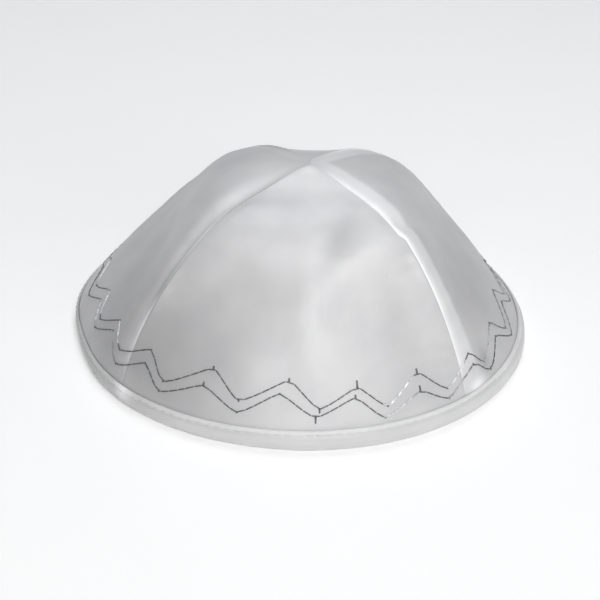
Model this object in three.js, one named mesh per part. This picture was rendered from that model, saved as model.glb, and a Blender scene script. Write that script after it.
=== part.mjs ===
// Kippah: a white satin skullcap sewn from four gores, with a folded binding round its rim.
// Millimetres, +Z up. The rim is a circle about the origin and stands on z = 0.
// The front gore faces -Y, and azimuth is counted in degrees from +X towards +Y.

import * as THREE from 'three';
import { mergeVertices } from 'three/addons/utils/BufferGeometryUtils.js';

// Driving dimensions
const RIM_RADIUS = 85; // outside of the binding
const CROWN_HEIGHT = 66; // top of the cloth where the gores meet
const CROWN_SHIFT = 2; // the gores meet this far to the right of the middle
const TIP_SPREAD = 2.2; // the front and back gores end this far before and behind that point
const WALL = 1.2; // satin and its backing
const BINDING_WALL = 0.9; // folded tape
const BINDING_HEIGHT = 7.4; // of the tape above the surface, on average
const BINDING_SWAY = 0.9; // the tape is this much higher at its widest place
const BINDING_WIDEST_AT = -10; // azimuth
const GAP = 0.36; // between neighbouring pieces
const ALLOWANCE_WIDTH = 7; // seam allowance pressed under the edges of the side gores
const ALLOWANCE_RISE = 1.8; // how far it lifts them
const ALLOWANCE_FADE = 14; // the lift fades out over this height above the binding
const FOLD_FADE = 4; // folds fade out this close to a seam
const FOLD_HEM_FADE = 6; // and over this height above the binding
const CORNER = 0.6; // radius of the binding's two lower corners
const CLOTH_LEAN = 1.2; // a leaning wall is this much thicker along the radius

// A seam is a superellipse in an upright plane: these are its powers, and the radii at which the
// two offsets in the table of seams are largest.
const PLAN_POWER = 2.5;
const RISE_POWER = 1.35;
const CROWN_RADIUS = 22;
const SHOULDER_RADIUS = 54;

// Fractions of the way down a gore
const ALLOWANCE_FROM = 0.25; // the allowance has its full lift from here on
const UPRIGHT_FROM = 0.75; // the cloth faces up at the crown and sideways from here on

// Each seam's direction, and how far its curve is raised (mm) near the crown and at the shoulder.
const SEAMS = {
  front_left: { azimuth: -136, crown: -2.3, shoulder: -1.5, side: -1 },
  front_right: { azimuth: -46.5, crown: -1.7, shoulder: 0.3, side: -1 },
  back_right: { azimuth: 45, crown: 0.5, shoulder: -2.5, side: 1 },
  back_left: { azimuth: 133, crown: 0.7, shoulder: -5, side: 1 },
};

// Each gore runs from one seam to the next, counterclockwise from above. A row of its shape gives,
// from the crown (down 0) to the rim (down 1), how round its level section is (0 a straight chord
// between the seams, 1 an arc about the middle) and how far (mm) its middle is puffed out.
const GORES = {
  panel_front: {
    seams: ['front_left', 'front_right'],
    allowance: false,
    shape: [
      { down: 0, round: 0.5, puff: 0 },
      { down: 0.25, round: 0.5, puff: 1.5 },
      { down: 0.5, round: 0.42, puff: 0 },
      { down: 0.7, round: 0.72, puff: 0 },
      { down: 0.85, round: 0.97, puff: 0.6 },
      { down: 0.95, round: 1, puff: 0 },
      { down: 1, round: 1, puff: 0 },
    ],
  },
  panel_right: {
    seams: ['front_right', 'back_right'],
    allowance: true,
    shape: [
      { down: 0, round: 0.5, puff: 0 },
      { down: 0.25, round: 0.45, puff: 0.5 },
      { down: 0.5, round: 0.28, puff: 0 },
      { down: 0.7, round: 0.63, puff: 0 },
      { down: 0.85, round: 0.94, puff: 0.6 },
      { down: 0.95, round: 1, puff: 0 },
      { down: 1, round: 1, puff: 0 },
    ],
  },
  panel_back: {
    seams: ['back_right', 'back_left'],
    allowance: false,
    shape: [
      { down: 0, round: 0.4, puff: 0 },
      { down: 0.12, round: 0.25, puff: -2.3 },
      { down: 0.25, round: 0.18, puff: -3.6 },
      { down: 0.5, round: 0.3, puff: -1 },
      { down: 0.7, round: 0.66, puff: 0 },
      { down: 0.85, round: 0.95, puff: 0.6 },
      { down: 0.95, round: 1, puff: 0 },
      { down: 1, round: 1, puff: 0 },
    ],
  },
  panel_left: {
    seams: ['back_left', 'front_left'],
    allowance: true,
    shape: [
      { down: 0, round: 0.5, puff: 0 },
      { down: 0.25, round: 0.5, puff: 1.2 },
      { down: 0.5, round: 0.3, puff: 0 },
      { down: 0.7, round: 0.7, puff: 0 },
      { down: 0.85, round: 0.97, puff: 0.8 },
      { down: 0.95, round: 1, puff: 0 },
      { down: 1, round: 1, puff: 0 },
    ],
  },
};

// Dents and folds in the cloth. down and across (0 to 1) place the middle, lean turns the fold from
// straight down towards the gore's first seam (degrees), and length, width and height are in mm.
const FOLDS = [
  { gore: 'panel_front', down: 0.27, across: 0.69, lean: 28, length: 15, width: 7, height: -1 },
  { gore: 'panel_front', down: 0.34, across: 0.82, lean: 57, length: 18, width: 5, height: 0.8 },
  { gore: 'panel_front', down: 0.45, across: 0.8, lean: 50, length: 16, width: 6, height: -0.6 },
  { gore: 'panel_front', down: 0.3, across: 0.25, lean: -30, length: 14, width: 8, height: 0.7 },
  { gore: 'panel_front', down: 0.58, across: 0.3, lean: -70, length: 24, width: 8, height: -0.7 },
  { gore: 'panel_front', down: 0.6, across: 0.86, lean: 5, length: 16, width: 7, height: -0.7 },
  { gore: 'panel_right', down: 0.3, across: 0.07, lean: -60, length: 7, width: 3, height: -1 },
  { gore: 'panel_right', down: 0.79, across: 0.05, lean: 0, length: 7, width: 5, height: 1.4 },
  { gore: 'panel_left', down: 0.55, across: 0.75, lean: -20, length: 22, width: 9, height: -0.8 },
  { gore: 'panel_back', down: 0.55, across: 0.35, lean: 35, length: 22, width: 8, height: -0.8 },
];

// Where the rim is out of round: the spread is in degrees and the offset in mm.
const RIM_DENTS = [
  { azimuth: -161, spread: 13, offset: -1.4 },
  { azimuth: -125, spread: 22, offset: 0.5 },
];

// Mesh steps
const BODY_ROWS = 17; // from the tip of a gore to the top of the binding
const BINDING_ROWS = 5; // from there to the hem
const COLUMNS = 18; // across a gore
const ALLOWANCE_COLUMNS = 2; // of them, along each seam allowance
const WIDEST_ALLOWANCE = 0.25; // of a gore's width, where the gore is narrow
const NORMAL_STEP = 0.004; // as a fraction of the gore
const MERGE_DISTANCE = 1e-4;

// Lengths that follow from the ones above
const HEM_TUCK = BINDING_WALL + GAP; // the binding's outer face carries on the cloth's curve
const HEM_HEIGHT = BINDING_WALL + GAP; // the gores end just above the binding's own fold
const SIDE_LENGTH = 112; // along the cloth from the crown to the rim
const HEM_DOWN = downAtHeight(HEM_HEIGHT);

const satin = new THREE.MeshStandardMaterial({ color: 0xe3e3e6, roughness: 0.38, metalness: 0 });
const tape = new THREE.MeshStandardMaterial({ color: 0xdedee0, roughness: 0.45, metalness: 0 });

function smoothStep(value) {
  return THREE.MathUtils.smoothstep(value, 0, 1);
}

function clampUnit(value) {
  return THREE.MathUtils.clamp(value, 0, 1);
}

function level(azimuth) {
  const turn = THREE.MathUtils.degToRad(azimuth);
  return new THREE.Vector3(Math.cos(turn), Math.sin(turn), 0);
}

// A hump that is 0 at the middle, 1 at the given radius and close to 0 at the rim.
function hump(radius, peak, power) {
  const ratio = (radius / peak) ** power;
  return ratio * Math.exp(1 - ratio);
}

// A column of a table at any place down the gore, as a smooth curve through its rows.
function readShape(rows, column, down) {
  let index = rows.findIndex((row) => row.down > down) - 1;
  if (index < 0) index = rows.length - 2;
  const slope = (at) => {
    if (at === 0 || at === rows.length - 1) return 0;
    return (rows[at + 1][column] - rows[at - 1][column]) / (rows[at + 1].down - rows[at - 1].down);
  };
  const [upper, lower] = [rows[index], rows[index + 1]];
  const span = lower.down - upper.down;
  const t = clampUnit((down - upper.down) / span);
  const fromUpper = (1 + 2 * t) * (1 - t) ** 2 * upper[column] + t * (1 - t) ** 2 * span * slope(index);
  const fromLower = t * t * (3 - 2 * t) * lower[column] + t * t * (t - 1) * span * slope(index + 1);
  return fromUpper + fromLower;
}

function downAtHeight(height) {
  return (2 / Math.PI) * Math.acos((height / CROWN_HEIGHT) ** (RISE_POWER / 2));
}

// Radius and height of a seam's curve. down is 0 at the crown and 1 at the rim.
function seamCurve(seam, down) {
  const turn = (down * Math.PI) / 2;
  const radius = RIM_RADIUS * Math.sin(turn) ** (2 / PLAN_POWER);
  const arc = CROWN_HEIGHT * Math.cos(turn) ** (2 / RISE_POWER);
  const crown = seam.crown * hump(radius, CROWN_RADIUS, 2);
  const shoulder = seam.shoulder * hump(radius, SHOULDER_RADIUS, 4);
  return { radius, height: arc + crown + shoulder };
}

function seamsOf(gore) {
  const [first, second] = gore.seams.map((name) => SEAMS[name]);
  const turn = second.azimuth < first.azimuth ? 360 : 0;
  return [first, { ...second, azimuth: second.azimuth + turn }];
}

function chordLength(gore, down) {
  const [first, second] = seamsOf(gore);
  const start = level(first.azimuth).multiplyScalar(seamCurve(first, down).radius);
  return start.distanceTo(level(second.azimuth).multiplyScalar(seamCurve(second, down).radius));
}

// How far the folds move the cloth, in mm.
function foldOffset(name, down, across, chord) {
  let offset = 0;
  for (const fold of FOLDS.filter((row) => row.gore === name)) {
    const lean = THREE.MathUtils.degToRad(fold.lean);
    const right = (across - fold.across) * chord;
    const along = (down - fold.down) * SIDE_LENGTH;
    const beside = Math.cos(lean) * right + Math.sin(lean) * along;
    const ahead = Math.cos(lean) * along - Math.sin(lean) * right;
    offset += fold.height * Math.exp(-((beside / fold.width) ** 2) - (ahead / fold.length) ** 2);
  }
  return offset;
}

// The outer face of the cloth. across is 0 on the gore's first seam and 1 on its second.
function clothPoint(name, down, across) {
  const gore = GORES[name];
  const [first, second] = seamsOf(gore);
  const start = seamCurve(first, down);
  const end = seamCurve(second, down);
  const radius = THREE.MathUtils.lerp(start.radius, end.radius, across);
  const azimuth = THREE.MathUtils.lerp(first.azimuth, second.azimuth, across);
  const straight = level(first.azimuth).multiplyScalar(start.radius);
  straight.lerp(level(second.azimuth).multiplyScalar(end.radius), across);
  const round = level(azimuth).multiplyScalar(radius);
  const point = straight.lerp(round, readShape(gore.shape, 'round', down));
  point.z = THREE.MathUtils.lerp(start.height, end.height, across);

  const chord = chordLength(gore, down);
  const edge = Math.min(across, 1 - across) * chord;
  const aboveBinding = point.z - BINDING_HEIGHT - BINDING_SWAY;
  let outwards = readShape(gore.shape, 'puff', down) * 4 * across * (1 - across);
  const foldFade = smoothStep(edge / FOLD_FADE) * smoothStep(aboveBinding / FOLD_HEM_FADE);
  outwards += foldOffset(name, down, across, chord) * foldFade;
  if (gore.allowance) {
    const ramp = clampUnit(edge / ALLOWANCE_WIDTH) * clampUnit(down / ALLOWANCE_FROM);
    outwards += ALLOWANCE_RISE * ramp * smoothStep(aboveBinding / ALLOWANCE_FADE);
  }
  const tilt = (clampUnit(down / UPRIGHT_FROM) * Math.PI) / 2;
  const facing = level((first.azimuth + second.azimuth) / 2);
  point.addScaledVector(facing, outwards * Math.sin(tilt));
  point.z += outwards * Math.cos(tilt);

  const inside = 1 - radius / RIM_RADIUS;
  point.x += CROWN_SHIFT * inside;
  point.y += TIP_SPREAD * THREE.MathUtils.lerp(first.side, second.side, across) * inside ** 2;
  return tuckHem(dentRim(point));
}

function dentRim(point) {
  const azimuth = THREE.MathUtils.radToDeg(Math.atan2(point.y, point.x));
  const radius = Math.max(Math.hypot(point.x, point.y), 1);
  let offset = 0;
  for (const dent of RIM_DENTS) {
    const apart = THREE.MathUtils.euclideanModulo(azimuth - dent.azimuth + 180, 360) - 180;
    offset += dent.offset * Math.exp(-((apart / dent.spread) ** 2));
  }
  const scale = 1 + (offset / radius) * (radius / RIM_RADIUS) ** 3;
  return point.set(point.x * scale, point.y * scale, point.z);
}

// The binding draws the hem in, so that its own outer face carries on the cloth's curve.
function tuckHem(point) {
  const radius = Math.max(Math.hypot(point.x, point.y), 1);
  const scale = 1 - (HEM_TUCK * smoothStep(1 - point.z / BINDING_HEIGHT)) / radius;
  return point.set(point.x * scale, point.y * scale, point.z);
}

function clothNormal(name, down, across) {
  const low = Math.max(down, NORMAL_STEP * 2);
  const below = clothPoint(name, low + NORMAL_STEP, across);
  const lengthwise = below.sub(clothPoint(name, low - NORMAL_STEP, across));
  const right = clothPoint(name, low, Math.min(across + NORMAL_STEP, 1));
  const sideways = right.sub(clothPoint(name, low, Math.max(across - NORMAL_STEP, 0)));
  return lengthwise.cross(sideways).normalize();
}

// Places across a gore: even ones, or on a side gore some along each seam allowance and even ones
// between the allowances, which narrow with the gore towards its tip.
function columnPlaces(gore, down) {
  const share = ALLOWANCE_WIDTH / Math.max(chordLength(gore, down), 1);
  const allowance = gore.allowance ? Math.min(share, WIDEST_ALLOWANCE) : 0;
  const onAllowance = gore.allowance ? ALLOWANCE_COLUMNS : 0;
  const places = [];
  for (let column = 0; column <= COLUMNS; column++) {
    const mirrored = Math.min(column, COLUMNS - column);
    if (mirrored < onAllowance) {
      const place = (allowance * mirrored) / onAllowance;
      places.push(column === mirrored ? place : 1 - place);
    } else {
      const even = (column - onAllowance) / (COLUMNS - 2 * onAllowance);
      places.push(THREE.MathUtils.lerp(allowance, 1 - allowance, even));
    }
  }
  return places;
}

// A closed body through a row of closed sections that all have the same number of points. A ring
// joins its last section to its first. Otherwise both ends are closed, and each section is a thin
// wall whose second half of points runs back along its first.
function loft(sections, ring) {
  const size = sections[0].length;
  const positions = sections.flat().flatMap((point) => [point.x, point.y, point.z]);
  const quads = [];
  const at = (section, point) => (section % sections.length) * size + (point % size);
  const last = sections.length - 1;
  for (let section = 0; section < (ring ? sections.length : last); section++) {
    for (let point = 0; point < size; point++) {
      const next = section + 1;
      quads.push([at(section, point), at(section, point + 1), at(next, point + 1), at(next, point)]);
    }
  }
  if (!ring) {
    for (let point = 0; point < size / 2 - 1; point++) {
      const back = size - 1 - point;
      quads.push([at(0, point), at(0, back), at(0, back - 1), at(0, point + 1)]);
      quads.push([at(last, point), at(last, point + 1), at(last, back - 1), at(last, back)]);
    }
  }
  const whole = new THREE.BufferGeometry();
  whole.setAttribute('position', new THREE.Float32BufferAttribute(positions, 3));
  whole.setIndex(quads.flatMap(([a, b, c, d]) => [a, b, c, a, c, d]));
  const merged = mergeVertices(whole, MERGE_DISTANCE);
  const corners = merged.getIndex().array;
  const kept = [];
  for (let first = 0; first < corners.length; first += 3) {
    const triangle = [corners[first], corners[first + 1], corners[first + 2]];
    if (new Set(triangle).size === 3) kept.push(...triangle);
  }
  merged.setIndex(kept);
  merged.computeVertexNormals();
  return merged;
}

// Heights of the rows that the gores and the binding share, from the top of the binding to the hem.
function bindingHeights(name, column) {
  const gore = GORES[name];
  const [first, second] = seamsOf(gore);
  const across = columnPlaces(gore, HEM_DOWN)[column];
  const azimuth = THREE.MathUtils.lerp(first.azimuth, second.azimuth, across);
  const sway = Math.cos(THREE.MathUtils.degToRad(azimuth - BINDING_WIDEST_AT));
  const top = BINDING_HEIGHT + BINDING_SWAY * sway;
  const heights = [];
  for (let row = 0; row < BINDING_ROWS; row++) {
    heights.push(THREE.MathUtils.lerp(top, HEM_HEIGHT, row / (BINDING_ROWS - 1)));
  }
  return heights;
}

// The section of a gore's wall from the tip down its outer face and back up its inner face. Its
// edges stay half a gap off the seams' planes, and its hem is cut level.
function goreSection(name, column) {
  const gore = GORES[name];
  const [first, second] = seamsOf(gore);
  const fromFirst = level(first.azimuth + 90);
  const fromSecond = level(second.azimuth - 90);
  const heights = bindingHeights(name, column);
  const outer = [];
  const inner = [];
  for (let row = 0; row < BODY_ROWS + heights.length; row++) {
    const isTip = row === 0;
    const isBound = row >= BODY_ROWS;
    const bound = downAtHeight(heights[isBound ? row - BODY_ROWS : 0]);
    const down = isBound ? bound : (bound * row) / BODY_ROWS;
    const across = columnPlaces(gore, down)[column];
    const point = clothPoint(name, down, across);
    const normal = isTip ? new THREE.Vector3(0, 0, 1) : clothNormal(name, down, across);
    point.addScaledVector(fromFirst, (GAP / 2) * (isTip ? 1 : 1 - across));
    point.addScaledVector(fromSecond, (GAP / 2) * (isTip ? 1 : across));
    if (column === 0) normal.addScaledVector(fromFirst, -normal.dot(fromFirst));
    if (column === COLUMNS) normal.addScaledVector(fromSecond, -normal.dot(fromSecond));
    if (isBound) point.z = heights[row - BODY_ROWS];
    if (row === BODY_ROWS + heights.length - 1) normal.z = 0;
    outer.push(point);
    inner.unshift(point.clone().addScaledVector(normal.normalize(), -WALL));
  }
  return [...outer, ...inner];
}

function buildGore(name) {
  const sections = [];
  for (let column = 0; column <= COLUMNS; column++) sections.push(goreSection(name, column));
  return loft(sections, false);
}

// A point of the binding, beside the cloth at a height, and at an offset along the radius.
function besideCloth(name, column, height, offset) {
  const gore = GORES[name];
  const down = downAtHeight(height);
  const point = clothPoint(name, down, columnPlaces(gore, down)[column]);
  const radius = Math.hypot(point.x, point.y);
  const scale = (radius + offset) / radius;
  return new THREE.Vector3(point.x * scale, point.y * scale, height);
}

// The U-shaped section of the binding: up and down its two legs, with the cloth between them.
function bindingSection(name, column) {
  const outerFace = GAP + BINDING_WALL;
  const innerSlot = -(WALL * CLOTH_LEAN + GAP);
  const innerFace = innerSlot - BINDING_WALL;
  const softened = CORNER * (1 - Math.SQRT1_2);
  const heights = bindingHeights(name, column);
  const face = (offset) => heights.map((height) => besideCloth(name, column, height, offset));
  const below = (offset, height) => besideCloth(name, column, HEM_HEIGHT, offset).setZ(height);
  return [
    ...face(outerFace),
    below(outerFace, CORNER),
    below(outerFace - softened, softened),
    below(outerFace - CORNER, 0),
    below(innerFace + CORNER, 0),
    below(innerFace + softened, softened),
    below(innerFace, CORNER),
    ...face(innerFace).reverse(),
    ...face(innerSlot).slice(0, -1),
    below(innerSlot, BINDING_WALL),
    below(GAP, BINDING_WALL),
    ...face(GAP).reverse().slice(1),
  ];
}

function buildBinding() {
  const sections = [];
  for (const name of Object.keys(GORES)) {
    for (let column = 0; column < COLUMNS; column++) sections.push(bindingSection(name, column));
  }
  return loft(sections, true);
}

function piece(name, geometry, material) {
  const mesh = new THREE.Mesh(geometry, material.clone());
  mesh.name = name;
  return mesh;
}

const kippah = new THREE.Group();
kippah.name = 'kippah';
for (const name of Object.keys(GORES)) kippah.add(piece(name, buildGore(name), satin));
kippah.add(piece('rim_band', buildBinding(), tape));

export default kippah;
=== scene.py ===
"""A white satin skullcap: four gores, a folded binding and silver zigzag stitching.

The rim's circle is centred on the origin and the cap stands on z = 0. The front gore faces -Y, and
azimuth is counted in degrees from +X towards +Y. The classes hold their sizes in millimetres, as a
pattern cutter gives them, and MM turns them into the frame's metres.
"""

import logging
import math
from collections.abc import Callable
from dataclasses import dataclass, field
from enum import Enum
from functools import lru_cache
from typing import NamedTuple

import bmesh
import bpy
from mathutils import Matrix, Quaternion, Vector, noise


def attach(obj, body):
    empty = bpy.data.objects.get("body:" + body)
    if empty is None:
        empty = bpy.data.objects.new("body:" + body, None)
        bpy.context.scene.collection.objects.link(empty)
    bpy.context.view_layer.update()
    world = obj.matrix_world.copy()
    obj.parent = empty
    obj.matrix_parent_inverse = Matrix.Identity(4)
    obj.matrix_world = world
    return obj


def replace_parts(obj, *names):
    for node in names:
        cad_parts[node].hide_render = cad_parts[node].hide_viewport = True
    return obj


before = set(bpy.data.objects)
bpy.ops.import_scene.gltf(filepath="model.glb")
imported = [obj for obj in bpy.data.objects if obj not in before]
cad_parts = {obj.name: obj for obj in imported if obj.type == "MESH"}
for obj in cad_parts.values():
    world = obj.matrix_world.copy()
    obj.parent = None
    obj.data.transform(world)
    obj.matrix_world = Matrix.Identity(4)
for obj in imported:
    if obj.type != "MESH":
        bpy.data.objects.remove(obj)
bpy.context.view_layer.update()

log = logging.getLogger("skullcap")

MM = 0.001
BODY = "root"
CLOTH_UV = "cloth"
# Each point's tone, which carries painted highlights, painted glints and painted shade besides the
# cloth's own tone.
TONE_AND_PAINTED_LIGHT = "tone_and_painted_light"

# Points of a mesh that are closer than this, in metres, become one point.
SAME_POINT = 0.002 * MM
# A point nearer the cap's axis than this, in mm, is moved as if it were this far from it.
AXIS_RADIUS = 1.0
# The angles in degrees past which an edge of cloth or of thread is shaded sharp.
CLOTH_SHARP = 50
THREAD_SHARP = 60
# Most of a noise pattern's values lie in these ranges, which numbers and tones are spread over.
NUMBER_RANGE = (0.25, 0.75)
TONE_RANGE = (0.3, 0.7)
# Half the side of a new grid, and a length that is too short to have a direction.
HALF_GRID = 0.5
TINY = 1e-6
# How far apart a material's nodes are drawn.
NODE_SPACING = 220
EVEN = (1.0, 1.0, 1.0)
WHITE = (1.0, 1.0, 1.0)

Triple = tuple[float, float, float]
Socket = bpy.types.NodeSocket


class Gore(Enum):
    """The four gores, counterclockwise from above."""

    FRONT = "front"
    RIGHT = "right"
    BACK = "back"
    LEFT = "left"

    @property
    def node(self) -> str:
        """The name of the solid that the gore replaces."""
        return f"panel_{self.value}"


class Seam(NamedTuple):
    """A seam: its azimuth, its raise in mm at the crown and the shoulder, its side and half gap."""

    azimuth: float
    crown: float
    shoulder: float
    side: int
    half_gap: float


class CutRow(NamedTuple):
    """How round a gore's level section is at a place down it, and how far (mm) it is puffed out."""

    down: float
    round: float
    puff: float


class Fold(NamedTuple):
    """A soft ridge or dent, or a cloud of painted sheen and shade: its middle, lean in degrees, and
    sizes in mm.
    """

    down: float
    across: float
    lean: float
    length: float
    width: float
    height: float


class Strip(NamedTuple):
    """The strip where a gore lies over its seam allowances, and how light it and its edge are, partly
    painted light.
    """

    width: float
    fade: float
    # Lighter for the doubled cloth, and on the right gore also for painted light.
    lightness: float
    edge_width: float
    # The painted line right at the seam: a painted highlight above 0, painted shade below it.
    edge: float


class RimSpot(NamedTuple):
    """Something that happens at one place of the rim: its azimuth, spread in degrees and amount."""

    azimuth: float
    spread: float
    amount: float

    def share(self, azimuth: float) -> float:
        """The share of the amount that is left at an azimuth."""
        return bell(turn_from(self.azimuth, azimuth), self.spread)

    def at(self, azimuth: float) -> float:
        """The amount that is left at an azimuth."""
        return self.amount * self.share(azimuth)


@dataclass(frozen=True)
class GoreCut:
    """One gore as it is cut and sewn."""

    first: Seam
    second: Seam
    allowance: bool
    strip: Strip
    rows: tuple[CutRow, ...]
    folds: tuple[Fold, ...]
    # Clouds of painted sheen and painted shade, laid on the cloth's tone.
    clouds: tuple[Fold, ...]

    @property
    def facing(self) -> float:
        """The azimuth that the middle of the gore faces."""
        return (self.first.azimuth + self.second.azimuth) / 2


FRONT_LEFT = Seam(-136, -2.3, -1.5, -1, 0.13)
FRONT_RIGHT = Seam(-46.5, -1.7, 0.3, -1, 0.05)
BACK_RIGHT = Seam(45, 0.5, -2.5, 1, 0.09)
BACK_LEFT = Seam(133, 0.7, -5, 1, 0.09)
NO_STRIP = Strip(0, 1, 0, 1, 0)
HEM_ROWS = (CutRow(0.95, 1, 0), CutRow(1, 1, 0))

CUTS = {
    Gore.FRONT: GoreCut(
        first=FRONT_LEFT,
        second=FRONT_RIGHT,
        allowance=False,
        strip=NO_STRIP,
        rows=(
            CutRow(0, 0.5, 0),
            CutRow(0.25, 0.5, 0.3),
            CutRow(0.5, 0.42, 0),
            CutRow(0.7, 0.72, 0),
            CutRow(0.85, 0.97, 0.6),
            *HEM_ROWS,
        ),
        folds=(
            Fold(0.27, 0.69, 28, 15, 5, -0.6),
            Fold(0.34, 0.82, 57, 18, 5, 0.8),
            Fold(0.45, 0.8, 50, 16, 6, -0.6),
            Fold(0.3, 0.25, -30, 14, 8, 0.7),
            Fold(0.58, 0.3, -70, 24, 8, -0.7),
            Fold(0.6, 0.86, 5, 16, 7, -0.7),
        ),
        # Painted sheen and painted shade on the front gore, with a painted highlight at its tip.
        clouds=(
            Fold(0.7, 0.08, 0, 30, 30, -0.3),
            Fold(0.28, 0.4, 0, 15, 36, 0.2),
            Fold(0.08, 0.5, 0, 9, 40, 0.26),
            Fold(0.015, 0.5, 0, 2.2, 4, 0.35),
            Fold(0.3, 0.68, 32, 12, 3.4, -0.14),
            Fold(0.24, 0.8, 60, 7, 5, -0.07),
            Fold(0.34, 0.87, 50, 15, 5, 0.16),
            Fold(0.52, 0.55, 5, 14, 3.5, 0.12),
            Fold(0.5, 0.48, 5, 12, 4, -0.07),
            Fold(0.7, 0.43, 10, 9, 6, 0.1),
            Fold(0.52, 0.85, 0, 14, 7, -0.08),
            Fold(0.44, 0.36, -60, 18, 6, -0.09),
            Fold(0.62, 0.58, -10, 9, 6, 0.06),
            Fold(0.4, 0.17, 20, 13, 5, 0.07),
        ),
    ),
    Gore.RIGHT: GoreCut(
        first=FRONT_RIGHT,
        second=BACK_RIGHT,
        allowance=True,
        # Lighter for the doubled cloth and for painted light, with a painted highlight along the seam.
        strip=Strip(7.2, 2.6, 0.28, 2, 0.4),
        rows=(
            CutRow(0, 0.5, 0),
            CutRow(0.25, 0.45, 0.5),
            CutRow(0.5, 0.28, 0),
            CutRow(0.7, 0.63, 0),
            CutRow(0.85, 0.94, 0.6),
            *HEM_ROWS,
        ),
        folds=(
            Fold(0.3, 0.07, -60, 7, 3, -1),
            Fold(0.79, 0.05, 0, 7, 5, 1.4),
        ),
        # Painted sheen and shade, with a painted highlight on the puff above the binding and painted
        # shade beside it.
        clouds=(
            Fold(0.2, 0.5, 0, 14, 40, 0.1),
            Fold(0.58, 0.3, 0, 20, 32, -0.2),
            Fold(0.84, 0.055, 10, 4.5, 4.5, 0.6),
            Fold(0.77, 0.12, 0, 6, 4, -0.26),
            Fold(0.305, 0.01, 0, 2, 2.5, 0.35),
        ),
    ),
    Gore.BACK: GoreCut(
        first=BACK_RIGHT,
        second=BACK_LEFT,
        allowance=False,
        strip=NO_STRIP,
        rows=(
            CutRow(0, 0.4, 0),
            CutRow(0.12, 0.25, -2.3),
            CutRow(0.25, 0.18, -3.6),
            CutRow(0.5, 0.3, -1),
            CutRow(0.7, 0.66, 0),
            CutRow(0.85, 0.95, 0.6),
            *HEM_ROWS,
        ),
        folds=(Fold(0.55, 0.35, 35, 22, 8, -0.8),),
        # Painted sheen and painted shade.
        clouds=(
            Fold(0.1, 0.5, 0, 12, 40, 0.2),
            Fold(0.3, 0.6, 40, 14, 8, 0.12),
            Fold(0.55, 0.3, -20, 20, 9, -0.1),
            Fold(0.62, 0.75, 15, 18, 8, 0.1),
        ),
    ),
    Gore.LEFT: GoreCut(
        first=BACK_LEFT,
        second=Seam(FRONT_LEFT.azimuth + 360, *FRONT_LEFT[1:]),
        allowance=True,
        # Lighter for the doubled cloth, with a painted shade line along the seam.
        strip=Strip(5, 4.5, 0.1, 1.6, -0.34),
        rows=(
            CutRow(0, 0.5, 0),
            CutRow(0.25, 0.5, 1.2),
            CutRow(0.5, 0.3, 0),
            CutRow(0.7, 0.7, 0),
            CutRow(0.85, 0.97, 0.8),
            *HEM_ROWS,
        ),
        folds=(Fold(0.55, 0.75, -20, 22, 9, -0.8),),
        # Painted sheen, and painted shade low down by the front seam.
        clouds=(
            Fold(0.25, 0.5, 0, 20, 45, 0.18),
            Fold(0.74, 0.92, 0, 26, 24, -0.26),
        ),
    ),
}


class ClothSpot(NamedTuple):
    """A point of a cloth and its place on the flat cloth, in mm, and how light the cloth is, painted
    light and shade included.
    """

    point: Vector
    flat: tuple[float, float]
    tone: float = 1.0


def clamp_unit(value: float) -> float:
    """Keeps a number between 0 and 1."""
    return min(max(value, 0.0), 1.0)


def smooth_step(value: float) -> float:
    """Rises smoothly from 0 to 1 as the value does."""
    held = clamp_unit(value)
    return held * held * (3 - 2 * held)


def mix(low: float, high: float, share: float) -> float:
    """The number that lies the given share of the way from low to high."""
    return low + (high - low) * share


def soft_minimum(first: float, second: float, blend: float) -> float:
    """The smaller of two numbers, with the corner between them rounded over a blend."""
    overlap = max(blend - abs(first - second), 0.0) / blend
    return min(first, second) - overlap * overlap * blend / 4


def level(azimuth: float) -> Vector:
    """The level direction of an azimuth in degrees."""
    turn = math.radians(azimuth)
    return Vector((math.cos(turn), math.sin(turn), 0.0))


def hump(radius: float, peak: float, power: float) -> float:
    """A hump that is 0 at the middle, 1 at the peak's radius and close to 0 at the rim."""
    ratio = (radius / peak) ** power
    return ratio * math.exp(1 - ratio)


def arch(across: float) -> float:
    """A parabola that is 0 at both ends of a width and 1 in its middle."""
    return 4 * across * (1 - across)


def bell(offset: float, spread: float) -> float:
    """A soft bell that is 1 at an offset of 0 and close to 0 at twice its spread."""
    return math.exp(-((offset / spread) ** 2))


def turn_from(start: float, azimuth: float) -> float:
    """The shorter turn in degrees from one azimuth to another."""
    return (azimuth - start + 180) % 360 - 180


def moved_out(point: Vector, offset: float) -> Vector:
    """The point moved level away from the cap's axis, by an offset in mm."""
    scale = 1 + offset / max(math.hypot(point.x, point.y), AXIS_RADIUS)
    return Vector((point.x * scale, point.y * scale, point.z))


def curve_weights(t: float) -> tuple[float, float, float, float]:
    """The weights at t of a smooth curve's start, its slope there, its end and its slope there."""
    return (1 + 2 * t) * (1 - t) ** 2, t * (1 - t) ** 2, t * t * (3 - 2 * t), t * t * (t - 1)


def gore_at(azimuth: float) -> tuple[Gore, float]:
    """Finds the gore at an azimuth.

    Args:
        azimuth: the azimuth, in degrees.

    Returns:
        The gore, and the place across it.
    """
    for gore, cut in CUTS.items():
        apart = (azimuth - cut.first.azimuth) % 360
        span = cut.second.azimuth - cut.first.azimuth
        if apart < span:
            return gore, apart / span
    return Gore.FRONT, 0.0


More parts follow.
